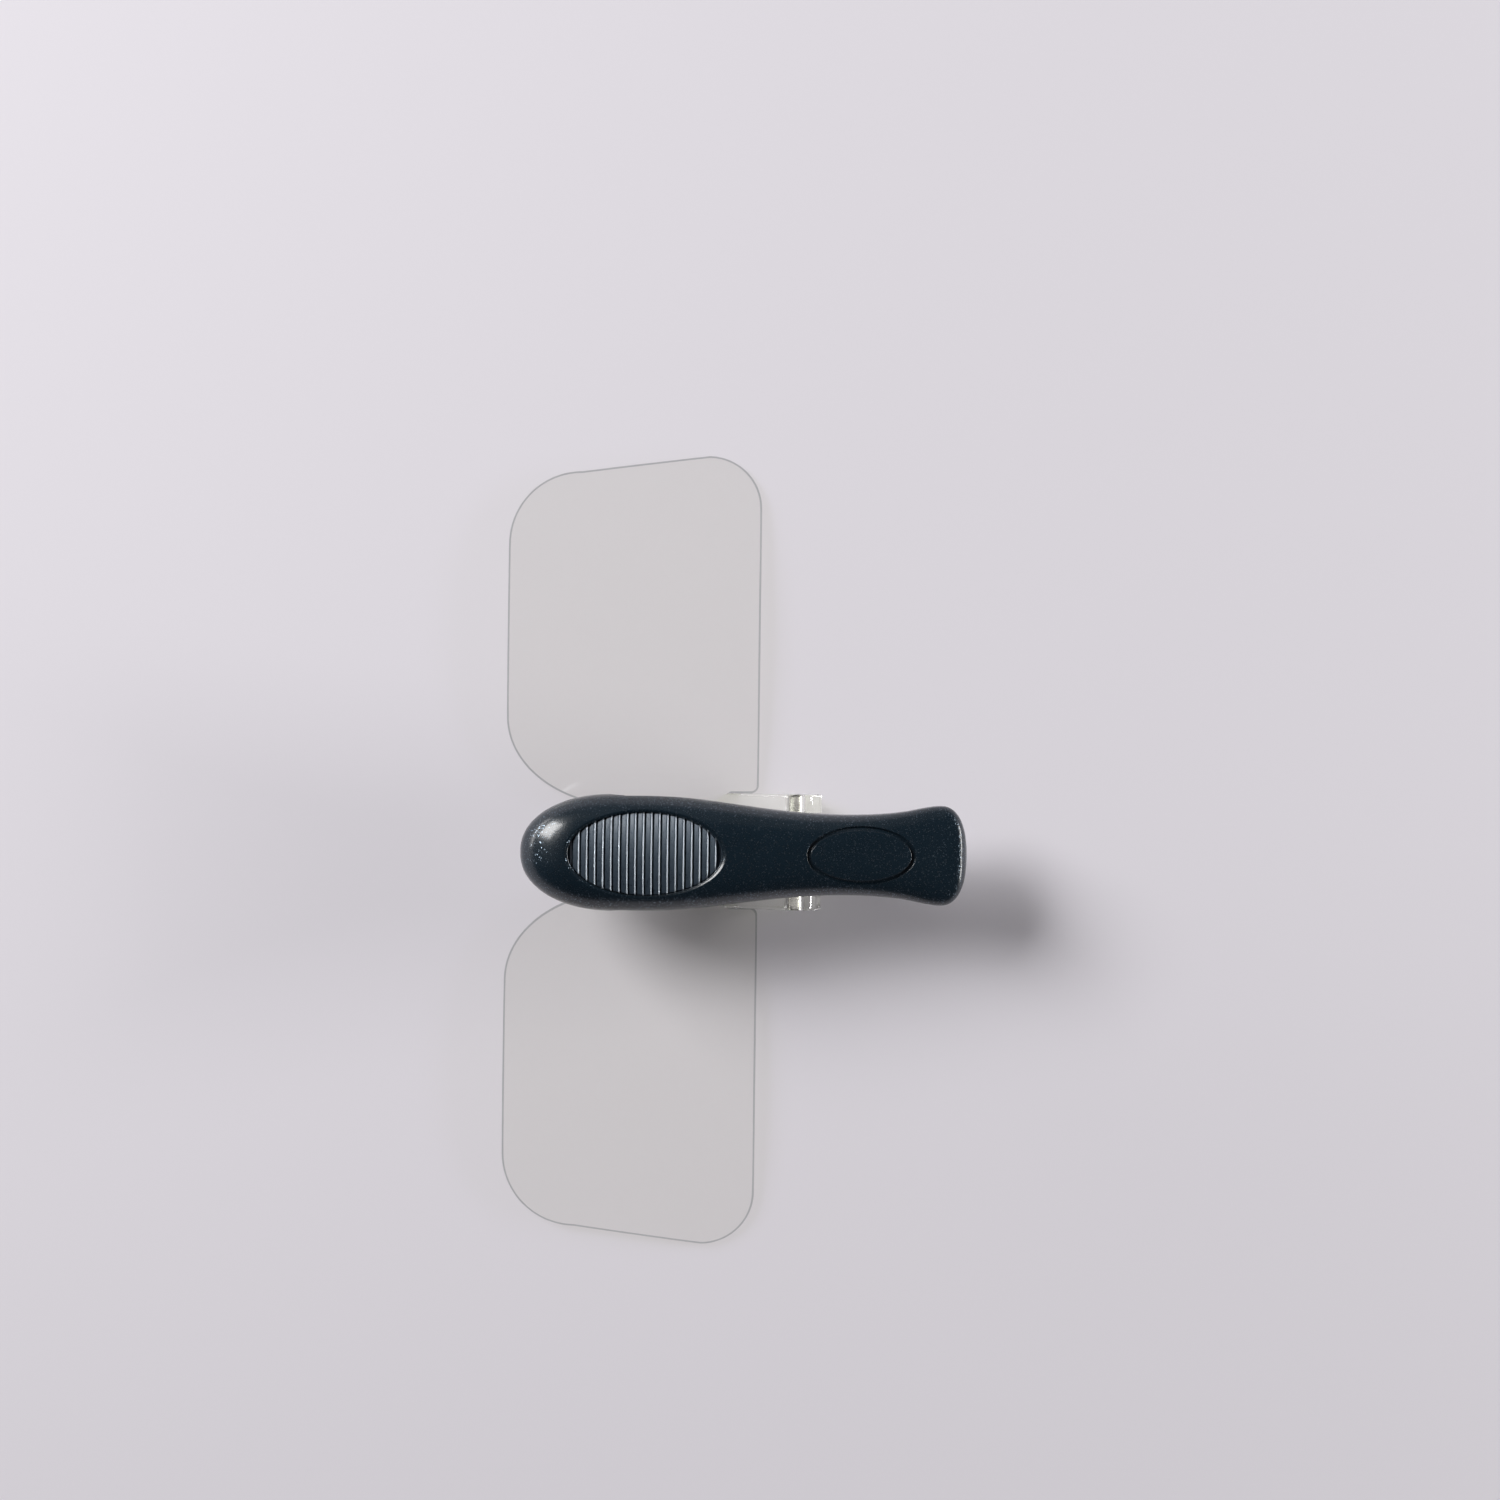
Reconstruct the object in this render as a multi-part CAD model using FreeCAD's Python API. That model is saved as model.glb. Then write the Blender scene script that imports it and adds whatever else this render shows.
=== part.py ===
import FreeCAD, Part
import math
import os

# Hat brim clip magnifier, packed flat: the lenses lie under the clip with their flat backs down.
# Sizes are in millimetres. X runs from the nose of the clip to its tail, Y across it and Z up.
# The origin is midway along, midway across and level with the flat backs of the lenses.

Vector = FreeCAD.Vector

# Clip as seen from above
clip_length = 65.8
clip_width = 17.2
nose_plan_length = 14.0
nose_side_length = 8.5
tail_half_width = 7.36
tail_plan_length = 3.9
tail_side_length = 1.4
leaf_end_radius = 11.0
leaf_corner_radius = 2.6
leaf_trim_margin = 0.1

# Clip as seen from the side
lower_leaf_thickness = 2.3
throat_height = 5.2
upper_leaf_thickness = 3.6
tail_leaf_thickness = 3.0
bite_gap = 0.3
throat_depth = 12.8
jaw_part_gap = 0.35
nose_lip_length = 8.2
nose_lap_gap = 1.2
tail_overhang = 4.6
keel_depth = 0.6
tail_belly_drop = 2.2

# Ribbed thumb oval and the plain oval line near the tail
thumb_oval_length = 22.4
thumb_oval_width = 12.2
thumb_oval_setback = 18.5
thumb_oval_depth = 0.8
rib_pitch = 1.17
rib_width = 0.9
rib_lean = 0.28
rib_round = 0.24
rib_below_skin = 0.06
rib_end_gap = 0.15
rib_root = 0.3
line_oval_length = 16.0
line_oval_width = 8.6
line_oval_setback = 50.1
line_oval_groove = 0.6
line_oval_depth = 0.3

# Bite serrations
tooth_pitch = 1.3
tooth_depth = 0.45
tooth_count = 7
tooth_tail_margin = 1.6

# Jaw hinge inside the nose
jaw_pin_setback = 7.2
jaw_pin_radius = 1.0
jaw_pin_length = 14.0
jaw_pin_chamfer = 0.2
pocket_radius = 4.0
pocket_width = 7.8
pocket_back_gap = 0.3
lug_radius = 3.6
lug_thickness = 1.2
lug_side_gap = 0.3
lug_root = 0.4

# Torsion spring that closes the jaws
spring_wire = 0.8
spring_coil_radius = 2.0
spring_pitch = 1.25
spring_turns = 2.5
spring_leg = 2.7
spring_gap_steps = 6
spring_seat_gap = 0.05
spring_seat_thickness = 0.9

# Fits
press_clearance = 0.01
running_clearance = 0.05

# Flip hinge
flip_pin_radius = 1.0
flip_pin_recess = 0.2
flip_pin_chamfer = 0.2
barrel_radius = 2.9
barrel_flat = 2.6
barrel_side_gap = 0.3
stem_round = 1.2
mount_clearance = 0.5
mount_plate_thickness = 1.2
mount_plate_length = 15.0
mount_plate_width = 9.2
mount_plate_corner = 2.0
peg_radius = 0.8
peg_height = 1.2
peg_spacing = 10.6
peg_clearance = 0.05

# Screw that holds the hinge mount to the lower leaf
screw_radius = 1.0
screw_length = 6.2
screw_head_radius = 1.8
screw_head_height = 1.2
screw_head_sink = 0.2
screw_head_round = 0.3
screw_slot_width = 0.5
screw_slot_reach = 1.1
screw_slot_depth = 0.5
screw_hole_clearance = 0.15

# Lenses
lens_pair_width = 120.0
lens_height = 38.4
cheek_lead = 3.4
lens_centre_thickness = 4.0
lens_curve_radius = 163.0
lens_centre_setback = 33.0
lens_temple_slant = 2.6
lens_brow_temple_radius = 8.0
lens_cheek_temple_radius = 11.0
lens_brow_nasal_radius = 1.2
lens_nasal_sweep_height = 18.0
lens_nasal_sweep_width = 13.5
lens_rim_chamfer = 0.3

# Clear bracket between the lenses
bracket_width = 17.4
bracket_waist_width = 12.8
arm_thickness = 2.7
arm_end_radius = 4.0
flip_pin_above_brow = 5.6
arm_taper_below_brow = 4.7
arm_taper_height = 3.8
web_thickness = 3.2
web_height = 7.0
web_below_taper = 0.3
web_arch = 1.2
waist_wall = 2.2
window_corner_radius = 1.2
window_web_radius = 2.0
bracket_edge_round = 0.45
hinge_back_wall = 1.2
hinge_back_gap = 0.2
hinge_floor = 0.7
hinge_floor_setback = 1.1
arm_rise_above_brow = -3.0

# Bowed leaf that holds the lenses up or down
detent_thickness = 0.3
detent_height = 4.0
detent_span = 11.0
detent_seat_gap = 0.05

# One overrun for every cut, and the shape exponents of the clip's cross section
overrun = 2.0
crown_exponent = 2.5
belly_exponent = 3.2
tail_fall_exponent = 1.5
nose_plan_exponent = 2.15
tail_plan_exponent = 2.35
end_side_exponent = 2.0
section_point_count = 28

# Places worked out from the sizes above
overall_length = clip_length + cheek_lead
tail_x = overall_length / 2
nose_x = tail_x - clip_length
cheek_x = -overall_length / 2
brow_x = cheek_x + lens_height
flip_pin_x = brow_x + flip_pin_above_brow
flip_pin_z = arm_end_radius
plate_bottom_z = 2 * arm_end_radius + mount_clearance
lower_bottom_z = plate_bottom_z + mount_plate_thickness
lower_top_z = lower_bottom_z + lower_leaf_thickness
roof_z = lower_top_z + throat_height
crest_z = roof_z + upper_leaf_thickness
nose_z = (lower_bottom_z + crest_z) / 2
tail_roof_z = lower_top_z + bite_gap
tail_top_z = tail_roof_z + tail_leaf_thickness
part_z = lower_top_z + jaw_part_gap
jaw_pin_x = nose_x + jaw_pin_setback
lip_x = nose_x + nose_lip_length
lower_front_x = lip_x + nose_lap_gap
lower_end_x = tail_x - tail_overhang
throat_x = nose_x + throat_depth
pocket_half = pocket_width / 2
lug_outer = pocket_half - lug_side_gap
lug_inner = lug_outer - lug_thickness
arm_outer = bracket_width / 2
arm_inner = arm_outer - arm_thickness
waist_half = bracket_waist_width / 2
taper_start_x = brow_x - arm_taper_below_brow
taper_end_x = taper_start_x - arm_taper_height
web_front_x = taper_end_x + web_below_taper
web_back_x = web_front_x - web_height
back_wall_x = flip_pin_x - barrel_flat - 2 * detent_thickness - hinge_back_gap - hinge_back_wall

# Half widths of the clip between its rounded ends: share of the length, share of the half width
flank_shares = [
    (0.290, 0.995),
    (0.360, 0.968),
    (0.440, 0.898),
    (0.530, 0.803),
    (0.620, 0.728),
    (0.710, 0.692),
    (0.790, 0.703),
    (0.860, 0.757),
    (0.910, 0.830),
]
# Stations from the tip of a rounded end, as shares of that end's length in plan
end_shares = [0.003, 0.02, 0.06, 0.13, 0.24, 0.38, 0.56, 0.78, 1.0]
# The form inside the skin has no rounded ends: it starts and stops at these stations
inner_end_share = 0.13


def end_growth(distance, length, exponent):
    """Share of the full size that a rounded end has reached at a distance from its tip."""
    if distance >= length:
        return 1
    return (1 - (1 - distance / length) ** exponent) ** (1 / exponent)


def clip_half_width(run):
    """Half width of the clip at a distance behind the tip of its nose."""
    if run <= nose_plan_length:
        return clip_width / 2 * end_growth(run, nose_plan_length, nose_plan_exponent)
    ahead = clip_length - run
    if ahead <= tail_plan_length:
        return tail_half_width * end_growth(ahead, tail_plan_length, tail_plan_exponent)
    tail_start = (1 - tail_plan_length / clip_length, 2 * tail_half_width / clip_width)
    stations = [(nose_plan_length / clip_length, 1)] + flank_shares + [tail_start]
    for (share_a, width_a), (share_b, width_b) in zip(stations, stations[1:]):
        if run <= share_b * clip_length:
            mix = (run / clip_length - share_a) / (share_b - share_a)
            return clip_width / 2 * (width_a + (width_b - width_a) * mix)


def side_growth(run):
    """Share of the full height, which falls to nothing at the tips of nose and tail."""
    nose = end_growth(run, nose_side_length, end_side_exponent)
    return nose * end_growth(clip_length - run, tail_side_length, end_side_exponent)


def tail_fall(run):
    """Share of the fall towards the tail, from 0 behind the nose to 1 at the tail."""
    if run <= nose_side_length:
        return 0
    return ((run - nose_side_length) / (clip_length - nose_side_length)) ** tail_fall_exponent


def middle_height(run):
    """Level where the clip is widest."""
    return nose_z - tail_belly_drop * tail_fall(run)


def crown_rise(run):
    """Height of the crown above the widest level."""
    full = crest_z - nose_z - (crest_z - tail_top_z - tail_belly_drop) * tail_fall(run)
    return full * side_growth(run)


def belly_drop(run):
    """Depth of the belly under the widest level."""
    full = nose_z - lower_bottom_z + keel_depth - tail_belly_drop * tail_fall(run)
    return full * side_growth(run)


def clip_section(run, inset):
    """Closed cross section of the whole clip: crowned above its widest level, flatter below."""
    half_width = clip_half_width(run) - inset
    top = crown_rise(run) - inset
    bottom = belly_drop(run) - inset
    points = []
    for k in range(section_point_count):
        angle = 2 * math.pi * k / section_point_count - math.pi / 2
        c = math.cos(angle)
        s = math.sin(angle)
        power = 2 / (crown_exponent if s > 0 else belly_exponent)
        y = math.copysign(abs(c) ** power, c) * half_width
        z = middle_height(run) + math.copysign(abs(s) ** power, s) * (top if s > 0 else bottom)
        points.append(Vector(nose_x + run, y, z))
    curve = Part.BSplineCurve()
    curve.interpolate(Points=points, PeriodicFlag=True)
    return Part.Wire([curve.toShape()])


def clip_form(inset=0):
    """The outer form that both jaws share, or a smaller one without rounded ends inside its skin."""
    shares = [share for share in end_shares if not inset or share > inner_end_share]
    runs = [share * nose_plan_length for share in shares]
    runs += [share * clip_length for share, width in flank_shares]
    runs += [clip_length - share * tail_plan_length for share in reversed(shares)]
    return Part.makeLoft([clip_section(run, inset) for run in runs], True, False)


def line(a, b):
    """Straight edge between two points."""
    return Part.LineSegment(a, b).toShape()


def arc(a, middle, b):
    """Round edge through three points."""
    return Part.Arc(a, middle, b).toShape()


def edge_loop(points):
    """Edges of a closed polygon."""
    return [line(points[k - 1], points[k]) for k in range(len(points))]


def side_prism(edges, low_y, high_y):
    """Solid of a closed outline in the XZ plane, between two distances across the clip."""
    face = Part.Face(Part.Wire(edges))
    face.translate(Vector(0, low_y, 0))
    return face.extrude(Vector(0, high_y - low_y, 0))


def side_polygon(corners):
    """Edges of a closed polygon from (x, z) corners."""
    return edge_loop([Vector(x, 0, z) for x, z in corners])


def plan_polygon(corners):
    """Edges of a closed polygon from (x, y) corners."""
    return edge_loop([Vector(x, y, 0) for x, y in corners])


def plan_prism(edges, low_z, high_z):
    """Solid of a closed outline in the XY plane, between two levels."""
    face = Part.Face(Part.Wire(edges))
    face.translate(Vector(0, 0, low_z))
    return face.extrude(Vector(0, 0, high_z - low_z))


def block(low, high):
    """Box between two corners."""
    return Part.makeBox(high[0] - low[0], high[1] - low[1], high[2] - low[2], Vector(*low))


def rod(x, z, radius, low_y, high_y):
    """Round bar along Y."""
    return Part.makeCylinder(radius, high_y - low_y, Vector(x, low_y, z), Vector(0, 1, 0))


def post(x, y, radius, low_z, high_z):
    """Round bar along Z."""
    return Part.makeCylinder(radius, high_z - low_z, Vector(x, y, low_z), Vector(0, 0, 1))


def fuse(shapes):
    """One solid from touching ones."""
    return shapes[0].fuse(shapes[1:]).removeSplitter()


def upright_edges(shape, x_low, x_high):
    """Straight edges along Z whose X lies between two values."""
    found = []
    for edge in shape.Edges:
        box = edge.BoundBox
        upright = box.ZLength > box.XLength + box.YLength + press_clearance
        if upright and x_low < box.XMin and box.XMax < x_high:
            found.append(edge)
    return found


def oval_column(setback, length, width):
    """Upright elliptical column on the clip's middle line."""
    centre = Vector(nose_x + setback, 0, 0)
    ellipse = Part.Ellipse(centre, length / 2, width / 2)
    return plan_prism([ellipse.toShape()], tail_roof_z, crest_z + overrun)


def end_waste(end_x):
    """What the lower leaf loses to get its rounded end: all that lies outside the end's outline."""
    half_width = tail_half_width + leaf_trim_margin
    low_y = half_width - leaf_corner_radius
    corner_x = end_x - leaf_end_radius + math.sqrt(leaf_end_radius ** 2 - low_y ** 2)
    start_x = corner_x - leaf_corner_radius
    turn = math.sin(math.pi / 4) * leaf_corner_radius
    far_x = end_x + clip_width
    edges = [
        line(Vector(start_x, -clip_width, 0), Vector(start_x, -half_width, 0)),
        arc(Vector(start_x, -half_width, 0),
            Vector(start_x + turn, -low_y - turn, 0),
            Vector(corner_x, -low_y, 0)),
        arc(Vector(corner_x, -low_y, 0), Vector(end_x, 0, 0), Vector(corner_x, low_y, 0)),
        arc(Vector(corner_x, low_y, 0),
            Vector(start_x + turn, low_y + turn, 0),
            Vector(start_x, half_width, 0)),
        line(Vector(start_x, half_width, 0), Vector(start_x, clip_width, 0)),
        line(Vector(start_x, clip_width, 0), Vector(far_x, clip_width, 0)),
        line(Vector(far_x, clip_width, 0), Vector(far_x, -clip_width, 0)),
        line(Vector(far_x, -clip_width, 0), Vector(start_x, -clip_width, 0)),
    ]
    return plan_prism(edges, 0, crest_z + overrun)


def roof_height(x):
    """Level of the upper leaf's underside, which slopes from the throat down to the bite."""
    share = (x - throat_x) / (lower_end_x - throat_x)
    return roof_z + (tail_roof_z - roof_z) * share


def floor_height(x):
    """Level of the lower leaf's top."""
    return lower_top_z


def teeth(level, cut_up):
    """V grooves across a jaw, cut up into the upper one or down into the lower one."""
    side = 1 if cut_up else -1
    grooves = []
    for k in range(tooth_count):
        x = lower_end_x - tooth_tail_margin - k * tooth_pitch
        z = level(x)
        base = z - side * tooth_depth
        corners = [(x - tooth_pitch, base), (x, z + side * tooth_depth), (x + tooth_pitch, base)]
        grooves.append(side_prism(side_polygon(corners), -clip_width, clip_width))
    return grooves


def make_throat():
    """What the upper jaw leaves open under its leaf: the throat's round back and the sloping roof."""
    slope = (roof_z - tail_roof_z) / (lower_end_x - throat_x)
    radius = (roof_z - part_z) / (2 + slope)
    back = Vector(throat_x + radius, 0, part_z)
    apex = Vector(throat_x, 0, part_z + radius)
    top = Vector(throat_x + radius, 0, roof_height(throat_x + radius))
    end_x = tail_x + clip_width
    corners = [
        top,
        Vector(lower_end_x, 0, tail_roof_z),
        Vector(end_x, 0, tail_roof_z),
        Vector(end_x, 0, 0),
        Vector(lip_x, 0, 0),
        Vector(lip_x, 0, part_z),
        back,
    ]
    edges = [line(corners[k], corners[k + 1]) for k in range(len(corners) - 1)]
    edges.append(arc(back, apex, top))
    return side_prism(edges, -clip_width, clip_width)


def make_pocket():
    """Room in the nose for the lower jaw's lugs and the spring, open below."""
    hollow = rod(jaw_pin_x, nose_z, pocket_radius, -pocket_half, pocket_half)
    low = (jaw_pin_x, -pocket_half, lower_bottom_z + jaw_part_gap + nose_lap_gap)
    high = (jaw_pin_x + pocket_radius, pocket_half, nose_z)
    return hollow.fuse(block(low, high))


def skin_height(run, y):
    """Level of the clip's crowned top at a distance behind the nose and off the middle."""
    share = min(1, abs(y) / clip_half_width(run))
    return middle_height(run) + crown_rise(run) * (1 - share ** crown_exponent) ** (1 / crown_exponent)


def make_ribs():
    """Slats across the thumb oval, arched like the crown, each leaning up towards the tail."""
    count = int((thumb_oval_length - rib_pitch) / rib_pitch)
    shrink = 2 * rib_end_gap
    oval = oval_column(thumb_oval_setback, thumb_oval_length - shrink, thumb_oval_width - shrink)
    ribs = []
    for k in range(count):
        offset = (k - (count - 1) / 2) * rib_pitch
        run = thumb_oval_setback + offset
        x = nose_x + run - rib_width / 2
        reach = (abs(offset) - rib_width / 2) / (thumb_oval_length / 2)
        half = thumb_oval_width / 2 * math.sqrt(1 - reach ** 2)
        end_z = skin_height(run, half) - rib_below_skin - rib_lean
        crest = Vector(x, 0, skin_height(run, 0) - rib_below_skin - rib_lean)
        foot_z = end_z - thumb_oval_depth - rib_root
        edges = [
            arc(Vector(x, -half, end_z), crest, Vector(x, half, end_z)),
            line(Vector(x, half, end_z), Vector(x, half, foot_z)),
            line(Vector(x, half, foot_z), Vector(x, -half, foot_z)),
            line(Vector(x, -half, foot_z), Vector(x, -half, end_z)),
        ]
        rib = Part.Face(Part.Wire(edges)).extrude(Vector(rib_width, 0, rib_lean))
        crests = [edge for edge in rib.Edges if edge.BoundBox.ZMin > foot_z + rib_root + rib_lean
                  and edge.BoundBox.XMin > x + rib_width / 2]
        ribs.append(rib.makeFillet(rib_round, crests).common(oval))
    return ribs


def make_upper_jaw(form):
    """Top leaf, bull nose and cheeks in one moulding, with the ribbed oval and the plain oval line."""
    jaw = form.cut(make_throat())
    low = (nose_x - overrun, -clip_width, 0)
    jaw = jaw.cut(block(low, (tail_x, clip_width, lower_bottom_z)))
    jaw = jaw.cut(make_pocket())
    bore = jaw_pin_radius + press_clearance
    jaw = jaw.cut(rod(jaw_pin_x, nose_z, bore, -clip_width, clip_width))
    thumb = oval_column(thumb_oval_setback, thumb_oval_length, thumb_oval_width)
    jaw = jaw.cut(thumb.cut(clip_form(thumb_oval_depth)))
    outer = oval_column(line_oval_setback, line_oval_length, line_oval_width)
    shrink = 2 * line_oval_groove
    inner = oval_column(line_oval_setback, line_oval_length - shrink, line_oval_width - shrink)
    jaw = jaw.cut(outer.cut(inner).cut(clip_form(line_oval_depth)))
    jaw = jaw.cut(Part.makeCompound(teeth(roof_height, True)))
    return jaw.fuse(make_ribs())


def make_lower_jaw(form):
    """Lower leaf with two lugs that ride on the jaw pin and a floor for the spring's lower leg."""
    leaf = form.cut(end_waste(lower_end_x))
    low = (lower_front_x, -clip_width, lower_bottom_z)
    leaf = leaf.common(block(low, (tail_x, clip_width, lower_top_z)))
    leaf = leaf.cut(Part.makeCompound(teeth(floor_height, False)))
    pieces = [leaf]
    gusset_back = jaw_pin_x + pocket_radius - pocket_back_gap
    for side in (-1, 1):
        low_y = min(side * lug_inner, side * lug_outer)
        high_y = max(side * lug_inner, side * lug_outer)
        lug = rod(jaw_pin_x, nose_z, lug_radius, low_y, high_y)
        low = (jaw_pin_x + lug_root, low_y, lower_top_z - lug_root)
        gusset = block(low, (gusset_back, high_y, nose_z))
        behind = block((lower_front_x, low_y, 0), (tail_x, high_y, crest_z))
        pieces.append(lug)
        pieces.append(gusset.common(lug.fuse(behind)))
    seat_top = nose_z - spring_coil_radius - spring_wire / 2 - spring_seat_gap
    low = (jaw_pin_x - spring_leg + lug_root, -lug_inner, seat_top - spring_seat_thickness)
    seat = block(low, (gusset_back, lug_inner, seat_top))
    inside = rod(jaw_pin_x, nose_z, lug_radius, -lug_inner, lug_inner)
    behind = block((lower_front_x, -lug_inner, 0), (tail_x, lug_inner, crest_z))
    pieces.append(seat.common(inside.fuse(behind)))
    jaw = fuse(pieces)
    jaw = jaw.cut(rod(jaw_pin_x, nose_z, jaw_pin_radius + running_clearance, -clip_width, clip_width))
    head_room = screw_head_radius + screw_hole_clearance
    seat_z = lower_top_z - screw_head_sink - screw_head_height
    holes = [
        post(flip_pin_x, 0, screw_radius + screw_hole_clearance, 0, lower_top_z),
        post(flip_pin_x, 0, head_room, seat_z, lower_top_z + overrun),
    ]
    for side in (-1, 1):
        x = flip_pin_x + side * peg_spacing / 2
        top = lower_bottom_z + peg_height + peg_clearance
        holes.append(post(x, 0, peg_radius + peg_clearance, 0, top))
    return jaw.cut(holes)


def chamfered_pin(x, z, radius, length, chamfer):
    """Round steel pin along Y with chamfered ends."""
    pin = rod(x, z, radius, -length / 2, length / 2)
    rims = [edge for edge in pin.Edges if edge.BoundBox.YLength < chamfer]
    return pin.makeChamfer(chamfer, rims)


def biarc(a, along_a, b, along_b):
    """Two arcs that join two points and keep both directions."""
    span = b - a
    turn = along_a + along_b
    gap = 2 * (1 - along_a.dot(along_b))
    reach = (math.sqrt(span.dot(turn) ** 2 + gap * span.dot(span)) - span.dot(turn)) / gap
    joint = (a + b + (along_a - along_b) * reach) / 2
    ahead = (b - along_b * reach - joint).normalize()
    return [tangent_arc(a, along_a, joint), tangent_arc(joint, ahead, b)]


def tangent_arc(a, along, b):
    """Arc from a to b that starts in the given direction."""
    chord = b - a
    unit = Vector(chord).normalize()
    side = along - unit * along.dot(unit)
    angle = math.acos(max(-1, min(1, along.dot(unit))))
    middle = (a + b) / 2 + side.normalize() * (chord.Length / 2 * math.tan(angle / 2))
    return arc(a, middle, b)


def spring_point(turn):
    """Point and direction on the coil after some turns from its top, turning over towards the tail."""
    angle = math.pi / 2 - 2 * math.pi * turn
    y = (turn - spring_turns / 2) * spring_pitch
    x = jaw_pin_x + spring_coil_radius * math.cos(angle)
    z = nose_z + spring_coil_radius * math.sin(angle)
    ring = 2 * math.pi * spring_coil_radius
    along = Vector(ring * math.sin(angle), spring_pitch, -ring * math.cos(angle)).normalize()
    return Vector(x, y, z), along


def make_jaw_spring():
    """Torsion spring round the jaw pin: one leg under the nose's roof, one on the lower jaw's floor."""
    start, first_way = spring_point(0)
    end, last_way = spring_point(spring_turns)
    edges = [line(start - first_way * spring_leg, start)]
    quarters = int(4 * spring_turns)
    for k in range(quarters):
        a, along_a = spring_point(k / 4)
        b, along_b = spring_point((k + 1) / 4)
        edges.extend(biarc(a, along_a, b, along_b))
    edges.append(line(end, end + last_way * spring_leg))
    path = Part.Wire(edges)
    ring = Part.Wire([Part.Circle(start - first_way * spring_leg, first_way, spring_wire / 2).toShape()])
    spring = path.makePipeShell([ring], True, False)
    step_count = spring_gap_steps * quarters
    points = [spring_point(k * spring_turns / step_count)[0] for k in range(step_count + 1)]
    half_turn = 2 * spring_gap_steps
    gaps = [(points[i] - points[j]).Length - spring_wire
            for i in range(len(points)) for j in range(i + half_turn, len(points))]
    print("jaw spring: least gap to itself", round(min(gaps), 3), "mm")
    return spring


def make_hinge_mount():
    """Plate under the lower leaf with pegs, and the stem whose barrel turns on the flip pin."""
    plate_low = flip_pin_x - mount_plate_length / 2
    plate_high = flip_pin_x + mount_plate_length / 2
    half = mount_plate_width / 2
    plate = block((plate_low, -half, plate_bottom_z), (plate_high, half, lower_bottom_z))
    corners = upright_edges(plate, plate_low - overrun, plate_high + overrun)
    plate = plate.makeFillet(mount_plate_corner, corners)
    barrel_half = arm_inner - barrel_side_gap
    stem_low = flip_pin_x - barrel_flat
    stem_high = flip_pin_x + barrel_radius
    flare = math.sqrt(0.5) * stem_round
    flare_z = plate_bottom_z - stem_round
    edges = [
        line(Vector(stem_low, 0, flip_pin_z), Vector(stem_low, 0, flare_z)),
        arc(Vector(stem_low, 0, flare_z),
            Vector(stem_low - stem_round + flare, 0, flare_z + flare),
            Vector(stem_low - stem_round, 0, plate_bottom_z)),
        line(Vector(stem_low - stem_round, 0, plate_bottom_z),
             Vector(stem_high + stem_round, 0, plate_bottom_z)),
        arc(Vector(stem_high + stem_round, 0, plate_bottom_z),
            Vector(stem_high + stem_round - flare, 0, flare_z + flare),
            Vector(stem_high, 0, flare_z)),
        line(Vector(stem_high, 0, flare_z), Vector(stem_high, 0, flip_pin_z)),
        line(Vector(stem_high, 0, flip_pin_z), Vector(stem_low, 0, flip_pin_z)),
    ]
    stem = side_prism(edges, -half, half)
    neck = block((stem_low, -barrel_half, flip_pin_z), (stem_high, barrel_half, flare_z))
    barrel = rod(flip_pin_x, flip_pin_z, barrel_radius, -barrel_half, barrel_half)
    low = (stem_low, -barrel_half, flip_pin_z - barrel_flat)
    barrel = barrel.common(block(low, (stem_high + overrun, barrel_half, flare_z)))
    peg_top = lower_bottom_z + peg_height
    pegs = [post(flip_pin_x + side * peg_spacing / 2, 0, peg_radius, plate_bottom_z, peg_top)
            for side in (-1, 1)]
    mount = fuse([plate, stem, neck, barrel] + pegs)
    tip_z = lower_top_z - screw_head_sink - screw_length
    pilot = post(flip_pin_x, 0, screw_radius + press_clearance, tip_z - screw_head_sink, lower_top_z)
    bore = rod(flip_pin_x, flip_pin_z, flip_pin_radius + running_clearance, -bracket_width, bracket_width)
    return mount.cut([pilot, bore])


def make_mount_screw():
    """Pan head screw, sunk in the lower leaf, that holds the hinge mount."""
    top = lower_top_z - screw_head_sink
    shank = post(flip_pin_x, 0, screw_radius, top - screw_length, top)
    head = post(flip_pin_x, 0, screw_head_radius, top - screw_head_height, top)
    rims = [edge for edge in head.Edges if edge.BoundBox.ZMin > top - screw_head_sink]
    head = head.makeFillet(screw_head_round, rims)
    screw = shank.fuse(head)
    half = screw_slot_width / 2
    reach = screw_slot_reach
    low_z = top - screw_slot_depth
    cross = [
        block((flip_pin_x - reach, -half, low_z), (flip_pin_x + reach, half, lower_top_z)),
        block((flip_pin_x - half, -reach, low_z), (flip_pin_x + half, reach, lower_top_z)),
    ]
    return screw.cut(cross)


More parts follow.
